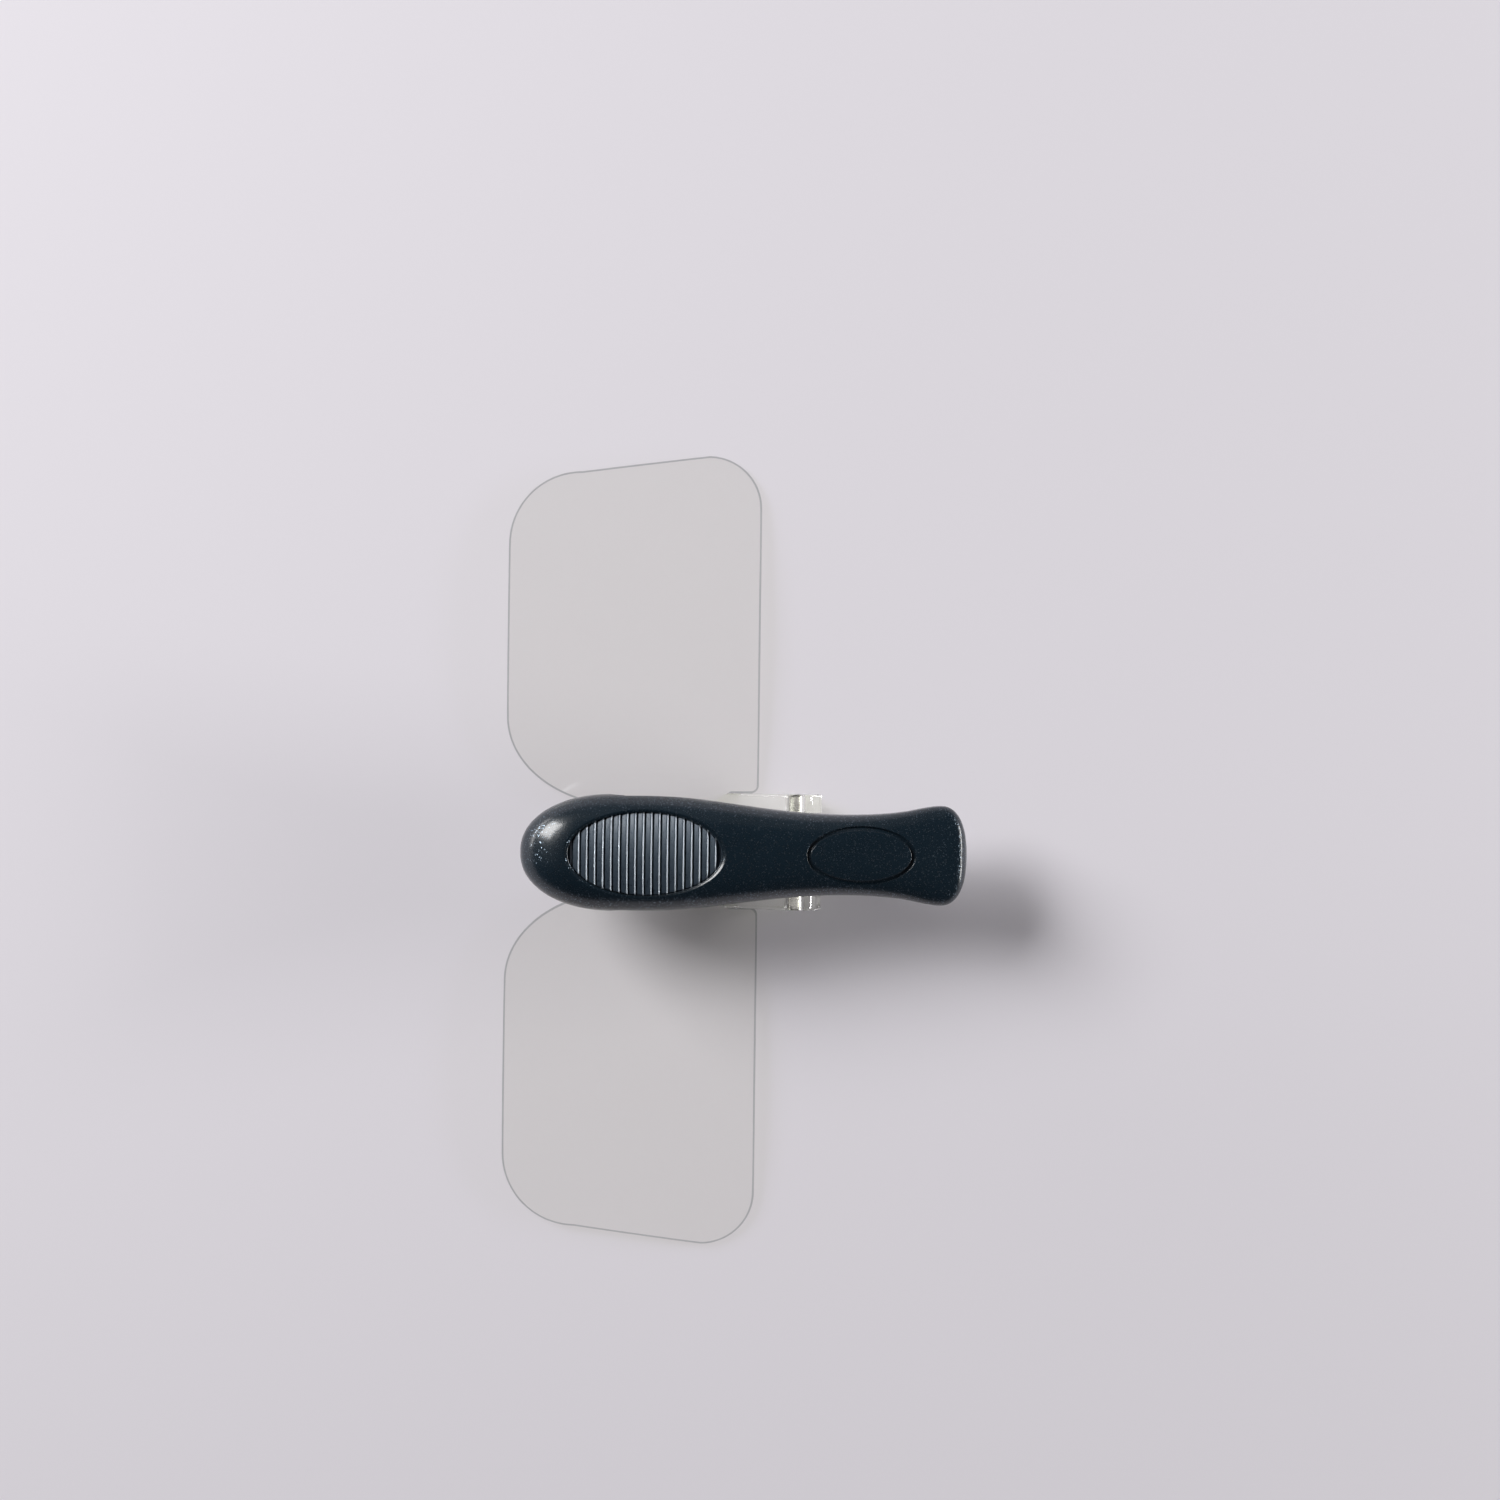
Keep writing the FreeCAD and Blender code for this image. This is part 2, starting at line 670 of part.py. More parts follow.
def lens_outline(side):
    """Outline of one lens: straight brow, slanted temple, round corners and a sweep for the nose."""
    temple = lens_pair_width / 2
    low_temple = temple - lens_temple_slant
    r_brow = lens_brow_temple_radius
    r_cheek = lens_cheek_temple_radius
    r_nasal = lens_brow_nasal_radius
    turn = 1 - math.sqrt(0.5)
    sweep_x = cheek_x + lens_nasal_sweep_height
    sweep_y = waist_half + lens_nasal_sweep_width

    def at(x, y):
        return Vector(x, side * y, 0)

    quarter = Part.Ellipse(at(cheek_x + lens_nasal_sweep_height, waist_half + lens_nasal_sweep_width),
                           lens_nasal_sweep_height, lens_nasal_sweep_width)
    start = math.pi if side > 0 else math.pi / 2
    quarter = Part.ArcOfEllipse(quarter, start, start + math.pi / 2)
    edges = [
        line(at(web_back_x, waist_half), at(taper_end_x, waist_half)),
        line(at(taper_end_x, waist_half), at(taper_start_x, arm_outer)),
        line(at(taper_start_x, arm_outer), at(brow_x - r_nasal, arm_outer)),
        arc(at(brow_x - r_nasal, arm_outer), at(brow_x - r_nasal * turn, arm_outer + r_nasal * turn),
            at(brow_x, arm_outer + r_nasal)),
        line(at(brow_x, arm_outer + r_nasal), at(brow_x, temple - r_brow)),
        arc(at(brow_x, temple - r_brow), at(brow_x - r_brow * turn, temple - r_brow * turn),
            at(brow_x - r_brow, temple)),
        line(at(brow_x - r_brow, temple), at(cheek_x + r_cheek, low_temple)),
        arc(at(cheek_x + r_cheek, low_temple), at(cheek_x + r_cheek * turn, low_temple - r_cheek * turn),
            at(cheek_x, low_temple - r_cheek)),
        line(at(cheek_x, low_temple - r_cheek), at(cheek_x, sweep_y)),
        quarter.toShape(),
        line(at(sweep_x, waist_half), at(web_back_x, waist_half)),
    ]
    return edges


def make_lens(side):
    """Plano-convex lens with its flat back down."""
    blank = plan_prism(lens_outline(side), 0, lens_centre_thickness + overrun)
    centre_z = lens_centre_thickness - lens_curve_radius
    centre = Vector(cheek_x + lens_height / 2, side * lens_centre_setback, centre_z)
    lens = blank.common(Part.makeSphere(lens_curve_radius, centre))
    rim = []
    for edge in lens.Edges:
        box = edge.BoundBox
        upper = box.ZMin > lens_rim_chamfer
        farthest = max(side * box.YMin, side * box.YMax)
        free = farthest > arm_outer + press_clearance
        if upper and free:
            rim.append(edge)
    return lens.makeChamfer(lens_rim_chamfer, rim)


def tangent_from(x, z, centre_x, centre_z, radius):
    """Point where the upper tangent from (x, z) meets a circle."""
    reach = math.hypot(centre_x - x, centre_z - z)
    angle = math.atan2(centre_z - z, centre_x - x) + math.asin(radius / reach)
    length = math.sqrt(reach ** 2 - radius ** 2)
    return x + length * math.cos(angle), z + length * math.sin(angle)


def make_bridge_bracket():
    """Clear moulding: web over the nose, window, two arms and the walls round the barrel."""
    end_x = flip_pin_x + arm_end_radius
    half = [
        Vector(end_x, arm_outer, 0),
        Vector(taper_start_x, arm_outer, 0),
        Vector(taper_end_x, waist_half, 0),
        Vector(web_back_x, waist_half, 0),
    ]
    other = [Vector(point.x, -point.y, 0) for point in reversed(half)]
    outline = [line(half[k], half[k + 1]) for k in range(len(half) - 1)]
    outline.append(arc(half[-1], Vector(web_back_x + web_arch, 0, 0), other[0]))
    outline += [line(other[k], other[k + 1]) for k in range(len(other) - 1)]
    outline.append(line(other[-1], half[0]))
    plan = plan_prism(outline, 0, crest_z)
    rise_x = brow_x + arm_rise_above_brow
    top_x, top_z = tangent_from(rise_x, web_thickness, flip_pin_x, flip_pin_z, arm_end_radius)
    side = [
        line(Vector(web_back_x - overrun, 0, 0), Vector(flip_pin_x, 0, 0)),
        arc(Vector(flip_pin_x, 0, 0), Vector(end_x, 0, flip_pin_z), Vector(top_x, 0, top_z)),
        line(Vector(top_x, 0, top_z), Vector(rise_x, 0, web_thickness)),
        line(Vector(rise_x, 0, web_thickness), Vector(web_back_x - overrun, 0, web_thickness)),
        line(Vector(web_back_x - overrun, 0, web_thickness), Vector(web_back_x - overrun, 0, 0)),
    ]
    bracket = plan.common(side_prism(side, -bracket_width, bracket_width))
    rims = []
    for edge in bracket.Edges:
        box = edge.BoundBox
        flank = box.YLength < press_clearance and abs(abs(box.YMin) - arm_outer) < press_clearance
        if flank and box.XMin > rise_x - press_clearance and box.ZMax > web_thickness:
            rims.append(edge)
    bracket = bracket.makeFillet(bracket_edge_round, rims)
    inner_waist = waist_half - waist_wall
    window = plan_prism(plan_polygon([
        (back_wall_x, arm_inner),
        (taper_start_x, arm_inner),
        (web_front_x, inner_waist),
        (web_front_x, -inner_waist),
        (taper_start_x, -arm_inner),
        (back_wall_x, -arm_inner),
    ]), -overrun, crest_z)
    corners = upright_edges(window, web_front_x - overrun, web_front_x + overrun)
    window = window.makeFillet(window_web_radius, corners)
    corners = upright_edges(window, back_wall_x - window_corner_radius, back_wall_x + overrun)
    window = window.makeFillet(window_corner_radius, corners)
    front = back_wall_x + hinge_back_wall
    room = block((front, -arm_inner, hinge_floor), (end_x + overrun, arm_inner, crest_z))
    low = (end_x - hinge_floor_setback, -arm_inner, -overrun)
    beyond = block(low, (end_x + overrun, arm_inner, crest_z))
    bore = rod(flip_pin_x, flip_pin_z, flip_pin_radius + press_clearance, -bracket_width, bracket_width)
    return bracket.cut([window, room, beyond, bore])


def make_detent_spring():
    """Thin steel leaf, bowed from the back wall to the flat of the barrel."""
    seat_x = back_wall_x + hinge_back_wall + detent_seat_gap
    crown_x = flip_pin_x - barrel_flat - detent_seat_gap - detent_thickness
    half = detent_span / 2
    back = Vector(detent_thickness, 0, 0)
    low_end = Vector(seat_x, -half, 0)
    crown = Vector(crown_x, 0, 0)
    high_end = Vector(seat_x, half, 0)
    edges = [
        arc(low_end, crown, high_end),
        line(high_end, high_end + back),
        arc(high_end + back, crown + back, low_end + back),
        line(low_end + back, low_end),
    ]
    low_z = flip_pin_z - detent_height / 2
    return plan_prism(edges, low_z, low_z + detent_height)


def main():
    """Builds the eleven pieces and writes a STEP file for each."""
    os.makedirs("parts", exist_ok=True)
    form = clip_form()
    parts = {
        "upper_jaw": make_upper_jaw(form),
        "lower_jaw": make_lower_jaw(form),
        "jaw_pin": chamfered_pin(jaw_pin_x, nose_z, jaw_pin_radius, jaw_pin_length, jaw_pin_chamfer),
        "jaw_spring": make_jaw_spring(),
        "hinge_mount": make_hinge_mount(),
        "mount_screw": make_mount_screw(),
        "lens_left": make_lens(-1),
        "lens_right": make_lens(1),
        "bridge_bracket": make_bridge_bracket(),
        "hinge_pin": chamfered_pin(flip_pin_x, flip_pin_z, flip_pin_radius,
                                   bracket_width - 2 * flip_pin_recess, flip_pin_chamfer),
        "detent_spring": make_detent_spring(),
    }
    for name, shape in parts.items():
        shape.exportStep("parts/" + name + ".step")
        print(name, "solids", len(shape.Solids), "valid", shape.isValid(), "volume", round(shape.Volume, 2))


if __name__ == "__main__":
    main()
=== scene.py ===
import math

import bpy
from bpy.props import FloatProperty, FloatVectorProperty, PointerProperty
from bpy.types import Operator, Panel, PropertyGroup
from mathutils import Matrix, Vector


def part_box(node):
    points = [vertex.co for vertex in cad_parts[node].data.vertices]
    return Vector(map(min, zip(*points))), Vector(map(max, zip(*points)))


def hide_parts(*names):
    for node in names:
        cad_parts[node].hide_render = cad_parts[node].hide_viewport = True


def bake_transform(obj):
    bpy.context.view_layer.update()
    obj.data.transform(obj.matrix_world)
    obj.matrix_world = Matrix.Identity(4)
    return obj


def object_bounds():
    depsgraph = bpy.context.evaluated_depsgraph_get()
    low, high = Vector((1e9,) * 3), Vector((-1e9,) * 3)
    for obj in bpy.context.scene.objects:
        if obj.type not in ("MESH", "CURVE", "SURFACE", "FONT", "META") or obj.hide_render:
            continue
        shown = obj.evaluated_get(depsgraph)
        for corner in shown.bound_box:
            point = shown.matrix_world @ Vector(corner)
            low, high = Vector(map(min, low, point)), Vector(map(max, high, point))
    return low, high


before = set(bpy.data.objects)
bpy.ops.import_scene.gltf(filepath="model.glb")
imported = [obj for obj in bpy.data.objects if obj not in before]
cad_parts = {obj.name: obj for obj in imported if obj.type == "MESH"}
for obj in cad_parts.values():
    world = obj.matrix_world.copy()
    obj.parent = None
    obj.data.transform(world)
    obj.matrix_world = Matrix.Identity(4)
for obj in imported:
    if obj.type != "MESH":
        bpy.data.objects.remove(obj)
CAD_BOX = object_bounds()

bl_info = {
    "name": "Hat brim clip magnifier",
    "version": (1, 0, 0),
    "blender": (4, 5, 0),
    "location": "3D View > Sidebar > Magnifier",
    "description": "Dresses the flip-up lenses, the brim clip and the hinge in their real finishes",
    "category": "Object",
}

MM = 0.001

# The ribbed thumb oval, seen from above, as the jaw carries it
THUMB_OVAL_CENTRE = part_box("upper_jaw")[0].x + 18.5 * MM
THUMB_OVAL_LENGTH = 22.4 * MM
THUMB_OVAL_WIDTH = 12.2 * MM
SLAT_PITCH = 1.17 * MM
SLAT_WIDTH = 0.9 * MM
# Width of the painted highlight along each slat's crest
CREST_HIGHLIGHT_WIDTH = 0.22 * MM
LIP_WIDTH = 0.4 * MM
LIP_DEPTH = 0.3 * MM

# Rays that look for a sharp edge near each point, so that it can be rounded
EDGE_SAMPLES = 4

# Most of a flake is whole, and the rest of it fades into the resin
FLAKE_CORE = 0.8

# The range that a noise mostly keeps to, and the middle of a random colour
NOISE_LOW, NOISE_HIGH = 0.3, 0.7
MID_COLOUR = (0.5, 0.5, 0.5)

# How upright a lens's normal stands on its cut rim, and on its polished face
RIM_UPRIGHT, FACE_UPRIGHT = 0.8, 0.9

# Grinding lines run round a pin, which lies along Y
LINE_STRETCH = (0.15, 1.0, 0.15)

# The floor lies a hair above the lens backs: over a gap, the lenses turn black from the side
FLOOR_REACH = 12.0
FLOOR_LIFT = 0.02 * MM
FLOOR_CORNERS = ((-1, -1), (1, -1), (1, 1), (-1, 1))

# The lamps' light is gone from the paper at this many set radii
SET_FADE = 3

# Lamps: name, place, width and height in metres, and power in watts
LAMPS = (
    ("key_light", (-0.82, 0.55, 0.68), 0.55, 0.55, 16.6),
    ("brow_light", (0, 1.0, 0.55), 0.9, 0.9, 0.4),
    ("tail_light", (0.85, 0.05, 0.24), 0.7, 0.12, 7.5),
    ("nose_light", (-0.66, 0.3, 0.1), 0.6, 0.07, 1.1),
)
LAMP_TARGET = Vector((0, 0, 0.01))

SENSOR_WIDTH = 36

# Rays that show a background to the eye and through a clear piece, and then in a mirror too
CLEAR_SIGHT = ("Is Camera Ray", "Is Transmission Ray")
SIGHT = ("Is Camera Ray", "Is Glossy Ray", "Is Transmission Ray")


def linear(code):
    """An sRGB hex colour as linear RGBA."""
    channels = [int(code[i : i + 2], 16) / 255 for i in (0, 2, 4)]
    return (
        *(c / 12.92 if c <= 0.04045 else ((c + 0.055) / 1.055) ** 2.4 for c in channels),
        1.0,
    )


def colour(label, text, code):
    """A colour swatch property."""
    return FloatVectorProperty(
        name=label,
        description=text,
        subtype="COLOR",
        size=4,
        min=0,
        max=1,
        default=linear(code),
    )


def length(label, text, millimetres):
    """A length property, given in millimetres and kept in metres."""
    return FloatProperty(
        name=label,
        description=text,
        unit="LENGTH",
        subtype="DISTANCE",
        precision=5,
        default=millimetres * MM,
    )


def share(label, text, value):
    """A property from 0 to 1."""
    return FloatProperty(
        name=label,
        description=text,
        subtype="FACTOR",
        min=0,
        max=1,
        default=value,
    )


def refraction(text, value):
    """A refractive index property."""
    return FloatProperty(name="Index", description=text, min=1, max=2, default=value)


class MAGNIFIER_PG_clip(PropertyGroup):
    """Finish of the two moulded jaws."""

    shade: colour("Plastic", "Near-black blue-grey of the moulded jaws", "07161F")
    flow_shade: colour("Flow tone", "Paler tone where the melt met the cooler mould", "0F1E28")
    flow: length("Flow width", "Width of one flow of the melt", 9)
    flake_shade: colour("Mica flake", "Silver-grey of the mica in the plastic", "5E6973")
    # Coarser than the real 0.05 mm, so that a flake shows in the picture
    flake: length("Flake size", "Width of one flake", 0.13)
    flake_share: share("Flake share", "Share of the skin that a flake fills", 0.09)
    flake_tilt: share("Flake tilt", "How far flakes lean out of the skin", 0.35)
    grain: length("Grain", "Width of one pit of the spark-eroded mould skin", 0.12)
    grain_depth: length("Grain depth", "Depth of the pits", 0.006)
    smoothest: share("Smoothest", "Lowest roughness of the moulded skin", 0.23)
    roughest: share("Roughest", "Highest roughness of the moulded skin", 0.37)
    index: refraction("Refractive index of ABS", 1.54)
    sheen: share("Sheen", "Strength of the satin skin's own reflection", 0.3)
    gloss: share("Gloss", "Weight of the resin-rich top skin", 0.5)
    gloss_roughness: share("Gloss roughness", "Roughness of the top skin", 0.15)
    slat_shade: colour("Slats", "Paler grey of the blasted slats in the thumb oval", "343F4A")
    slat_metal: share("Slat metal", "How metallic the mica-rich slats look", 0.25)
    slat_roughness: share("Slat roughness", "Roughness of the blasted slats", 0.46)
    slat_gloss: share("Slat gloss", "Weight of the top skin that blasting left on the slats", 0.12)
    # Painted highlight: the silver-grey crests stand in for the light that the rounded crests catch
    crest_highlight_shade: colour("Crests", "Silver-grey that thumbs polish on the slats' crests", "B3BCC5")
    edge_round: length("Edge round", "Radius that moulding leaves on sharp edges", 0.2)


class MAGNIFIER_PG_mount(PropertyGroup):
    """Finish of the glossy hinge mount."""

    shade: colour("Nylon", "Black of the hinge mount", "0D0F12")
    smoothest: share("Smoothest", "Lowest roughness of the polished mould skin", 0.1)
    roughest: share("Roughest", "Highest roughness of the polished mould skin", 0.24)
    index: refraction("Refractive index of nylon", 1.53)
    wave: length("Wave width", "Width of one flow wave", 2.5)
    wave_depth: length("Wave depth", "Depth of the flow waves", 0.02)
    wave_share: share("Wave strength", "Strength of the flow waves", 0.4)
    edge_round: length("Edge round", "Radius that moulding leaves on sharp edges", 0.15)


class MAGNIFIER_PG_clear(PropertyGroup):
    """Finish of the clear parts."""

    lens_tint: colour("Lens tint", "What one lens face leaves of white light", "F8F8F5")
    bracket_tint: colour("Bracket tint", "Faint yellow-green of the thick bracket", "FBFCF7")
    index: refraction("Refractive index of acrylic", 1.49)
    roughest: share("Roughest", "Highest roughness of the polished faces", 0.04)
    haze: length("Haze width", "Width of one wisp of haze in the polish", 6)
    # Painted shade: the grey stands in for the light lost in the lenses' cut rims
    rim_painted_shade: colour("Rim tint", "Grey of the satin rims, which scatter light", "999D9F")
    rim_roughness: share("Rim roughness", "Roughness of the cut rims of the lenses", 0.22)


class MAGNIFIER_PG_steel(PropertyGroup):
    """Finish of the pins, springs and screw."""

    pin_shade: colour("Pin steel", "Ground stainless dowel", "C9C7C3")
    wire_shade: colour("Spring steel", "Drawn and tempered spring wire", "8E8B87")
    smoothest: share("Smoothest", "Lowest roughness of ground steel", 0.16)
    roughest: share("Roughest", "Highest roughness of ground steel", 0.36)
    line_pitch: length("Grinding lines", "Distance between the grinding lines round a pin", 0.12)
    line_depth: length("Line depth", "Depth of the grinding lines", 0.004)
    line_share: share("Line strength", "Strength of the grinding lines", 0.5)


class MAGNIFIER_PG_stage(PropertyGroup):
    """Floor, lights and camera."""

    floor_shade: colour("Floor", "Pale grey sweep under the object", "DBD7DD")
    floor_roughness: share("Floor roughness", "Roughness of the matt paper", 0.85)
    fibre: length("Fibre", "Width of the paper's fibre tufts", 0.6)
    fibre_depth: length("Fibre depth", "Depth of the paper's fibre tufts", 0.01)
    fibre_share: share("Fibre strength", "Strength of the paper's fibre tufts", 0.3)
    set_radius: length("Set radius", "Reach of the lamps, beyond which the paper glows", 170)
    wall_foot: share("Wall foot", "Sine of the height where the pale walls start to dim", 0.05)
    wall_top: share("Wall top", "Sine of the height where the pale walls have dimmed", 0.25)
    overhead: share("Overhead", "Brightness of the room above the lamps", 0.06)
    camera_x: length("Camera X", "Place of the camera along the clip", 2.4)
    camera_y: length("Camera Y", "Place of the camera across the clip", 15.3)
    camera_height: length("Camera height", "Height of the camera above the floor", 403)
    roll: FloatProperty(
        name="Roll",
        description="Turn of the camera about its own axis",
        unit="ROTATION",
        subtype="ANGLE",
        default=math.radians(0.7),
    )
    focal: FloatProperty(
        name="Focal length",
        description="Lens for a 36 mm sensor, in millimetres",
        unit="CAMERA",
        default=63.3,
    )


PROPERTY_GROUPS = {
    "clip": MAGNIFIER_PG_clip,
    "mount": MAGNIFIER_PG_mount,
    "clear": MAGNIFIER_PG_clear,
    "steel": MAGNIFIER_PG_steel,
    "stage": MAGNIFIER_PG_stage,
}


class MAGNIFIER_PG_settings(PropertyGroup):
    """Everything that a user would change."""

    clip: PointerProperty(type=MAGNIFIER_PG_clip)
    mount: PointerProperty(type=MAGNIFIER_PG_mount)
    clear: PointerProperty(type=MAGNIFIER_PG_clear)
    steel: PointerProperty(type=MAGNIFIER_PG_steel)
    stage: PointerProperty(type=MAGNIFIER_PG_stage)


def add(tree, kind, links=None, values=None, **settings):
    """Adds a node with its settings, its input values and the sockets that feed it."""
    node = tree.nodes.new(kind)
    for name, value in settings.items():
        setattr(node, name, value)
    for name, value in (values or {}).items():
        node.inputs[name].default_value = value
    for name, socket in (links or {}).items():
        tree.links.new(socket, node.inputs[name])
    return node


def new_material(name):
    """An empty material and its node tree with an output node."""
    material = bpy.data.materials.new(name)
    material.use_nodes = True
    material.node_tree.nodes.clear()
    output = material.node_tree.nodes.new("ShaderNodeOutputMaterial")
    return material, material.node_tree, output


def dress(material, *nodes):
    """Gives CAD nodes their finish."""
    for name in nodes:
        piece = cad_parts[name]
        piece.data.materials.clear()
        piece.data.materials.append(material)


def thumb_oval_reach(tree, place):
    """A socket that is 0 at the middle of the ribbed thumb oval and 1 on its edge, seen along Z."""
    half_length, half_width = THUMB_OVAL_LENGTH / 2, THUMB_OVAL_WIDTH / 2
    unit = add(
        tree,
        "ShaderNodeVectorMath",
        operation="MULTIPLY_ADD",
        links={0: place},
        values={
            1: (1 / half_length, 1 / half_width, 0),
            2: (-THUMB_OVAL_CENTRE / half_length, 0, 0),
        },
    )
    reach = add(
        tree,
        "ShaderNodeVectorMath",
        operation="LENGTH",
        links={0: unit.outputs["Vector"]},
    )
    return reach.outputs["Value"]


def painted_crest_highlight(tree, place):
    """A socket that is 1 along the crest of each slat, at its tail side, where a highlight is
    painted.
    """
    along = add(tree, "ShaderNodeSeparateXYZ", links={"Vector": place}).outputs["X"]
    slat = add(
        tree,
        "ShaderNodeMath",
        operation="MULTIPLY_ADD",
        links={0: along},
        values={1: 1 / SLAT_PITCH, 2: -THUMB_OVAL_CENTRE / SLAT_PITCH},
    )
    across = add(tree, "ShaderNodeMath", operation="FRACT", links={0: slat.outputs["Value"]})
    crest = (SLAT_PITCH + SLAT_WIDTH - CREST_HIGHLIGHT_WIDTH) / 2
    band = add(
        tree,
        "ShaderNodeMath",
        operation="COMPARE",
        links={0: across.outputs["Value"]},
        values={1: crest / SLAT_PITCH, 2: CREST_HIGHLIGHT_WIDTH / 2 / SLAT_PITCH},
    )
    return band.outputs["Value"]


def round_edges(tree, settings):
    """The surface's normal, rolled over at sharp edges."""
    return add(
        tree,
        "ShaderNodeBevel",
        samples=EDGE_SAMPLES,
        values={"Radius": settings.edge_round},
    ).outputs["Normal"]


def soft_lip(tree, reach, edge):
    """The normal of the skin that rolls softly into the thumb oval and catches the light there."""
    lip = add(
        tree,
        "ShaderNodeMapRange",
        interpolation_type="SMOOTHSTEP",
        links={"Value": reach},
        values={"From Min": 1.0, "From Max": 1 + 2 * LIP_WIDTH / THUMB_OVAL_WIDTH},
    )
    return add(
        tree,
        "ShaderNodeBump",
        links={"Height": lip.outputs["Result"], "Normal": edge},
        values={"Strength": 1.0, "Distance": LIP_DEPTH},
    ).outputs["Normal"]


def mica_flakes(tree, place, edge, settings):
    """Sockets for where a mica flake lies and for the normal, which leans on each flake."""
    # Each cell is one flake's room, and only some hold a flake
    cells = add(
        tree,
        "ShaderNodeTexVoronoi",
        links={"Vector": place},
        values={"Scale": 1 / settings.flake},
    )
    lots = add(tree, "ShaderNodeSeparateColor", links={"Color": cells.outputs["Color"]})
    flake = add(
        tree,
        "ShaderNodeMapRange",
        links={"Value": lots.outputs["Red"]},
        values={
            "From Min": 1 - settings.flake_share,
            "From Max": 1 - settings.flake_share * FLAKE_CORE,
        },
    ).outputs["Result"]
    lean = add(
        tree,
        "ShaderNodeVectorMath",
        operation="SUBTRACT",
        links={0: cells.outputs["Color"]},
        values={1: MID_COLOUR},
    )
    amount = add(
        tree,
        "ShaderNodeMath",
        operation="MULTIPLY",
        links={0: flake},
        values={1: settings.flake_tilt},
    )
    tilt = add(
        tree,
        "ShaderNodeVectorMath",
        operation="SCALE",
        links={0: lean.outputs["Vector"], "Scale": amount.outputs["Value"]},
    )
    leaning = add(
        tree,
        "ShaderNodeVectorMath",
        operation="ADD",
        links={0: edge, 1: tilt.outputs["Vector"]},
    )
    normal = add(
        tree,
        "ShaderNodeVectorMath",
        operation="NORMALIZE",
        links={0: leaning.outputs["Vector"]},
    )
    return flake, normal.outputs["Vector"]


def blasted_slats(tree, place, reach, skin, settings):
    """The skin with paler, rougher slats inside the thumb oval, and a highlight painted along their
    crests.
    """
    oval = add(
        tree,
        "ShaderNodeMath",
        operation="LESS_THAN",
        links={0: reach},
        values={1: 1.0},
    ).outputs["Value"]
    # The slats' own grey, with a highlight painted along each crest
    slats = add(
        tree,
        "ShaderNodeMix",
        data_type="RGBA",
        links={"Factor": painted_crest_highlight(tree, place)},
        values={"A": settings.slat_shade, "B": settings.crest_highlight_shade},
    )
    tone = add(
        tree,
        "ShaderNodeMix",
        data_type="RGBA",
        links={"Factor": oval, "A": skin["Base Color"], "B": slats.outputs["Result"]},
    )
    slat_silver = add(
        tree,
        "ShaderNodeMath",
        operation="MULTIPLY",
        links={0: oval},
        values={1: settings.slat_metal},
    )
    silver = add(
        tree,
        "ShaderNodeMath",
        operation="MAXIMUM",
        links={0: skin["Metallic"], 1: slat_silver.outputs["Value"]},
    )
    satin = add(
        tree,
        "ShaderNodeMix",
        data_type="FLOAT",
        links={"Factor": oval, "A": skin["Roughness"]},
        values={"B": settings.slat_roughness},
    )
    top_skin = add(
        tree,
        "ShaderNodeMapRange",
        links={"Value": oval},
        values={"To Min": settings.gloss, "To Max": settings.slat_gloss},
    )
    return {
        "Base Color": tone.outputs["Result"],
        "Metallic": silver.outputs["Value"],
        "Roughness": satin.outputs["Result"],
        "Coat Weight": top_skin.outputs["Result"],
    }


def mica_abs(name, settings, with_oval):
    """Mica-filled ABS: near-black blue-grey under a glossy skin, alive with fine silver specks."""
    material, tree, output = new_material(name)
    place = add(tree, "ShaderNodeTexCoord").outputs["Object"]
    edge = round_edges(tree, settings)
    if with_oval:
        reach = thumb_oval_reach(tree, place)
        edge = soft_lip(tree, reach, edge)

    flow = add(
        tree,
        "ShaderNodeTexNoise",
        links={"Vector": place},
        values={"Scale": 1 / settings.flow, "Detail": 3.0, "Roughness": 0.55},
    )
    tone = add(
        tree,
        "ShaderNodeMix",
        data_type="RGBA",
        links={"Factor": flow.outputs["Fac"]},
        values={"A": settings.shade, "B": settings.flow_shade},
    )
    flake, flake_normal = mica_flakes(tree, place, edge, settings)
    speckled = add(
        tree,
        "ShaderNodeMix",
        data_type="RGBA",
        links={"Factor": flake, "A": tone.outputs["Result"]},
        values={"B": settings.flake_shade},
    )

    grain = add(
        tree,
        "ShaderNodeTexNoise",
        links={"Vector": place},
        values={"Scale": 1 / settings.grain, "Detail": 2.0, "Roughness": 0.7},
    ).outputs["Fac"]
    pits = add(
        tree,
        "ShaderNodeBump",
        links={"Height": grain, "Normal": flake_normal},
        values={"Strength": 1.0, "Distance": settings.grain_depth},
    )
    satin = add(
        tree,
        "ShaderNodeMapRange",
        links={"Value": grain},
        values={
            "From Min": NOISE_LOW,
            "From Max": NOISE_HIGH,
            "To Min": settings.smoothest,
            "To Max": settings.roughest,
        },
    )

    skin = {
        "Base Color": speckled.outputs["Result"],
        "Metallic": flake,
        "Roughness": satin.outputs["Result"],
    }
    if with_oval:
        skin = blasted_slats(tree, place, reach, skin, settings)
    shader = add(
        tree,
        "ShaderNodeBsdfPrincipled",
        links={**skin, "Normal": pits.outputs["Normal"], "Coat Normal": edge},
        values={
            "IOR": settings.index,
            "Specular IOR Level": settings.sheen,
            "Coat Weight": settings.gloss,
            "Coat Roughness": settings.gloss_roughness,
        },
    )
    tree.links.new(shader.outputs["BSDF"], output.inputs["Surface"])
    return material


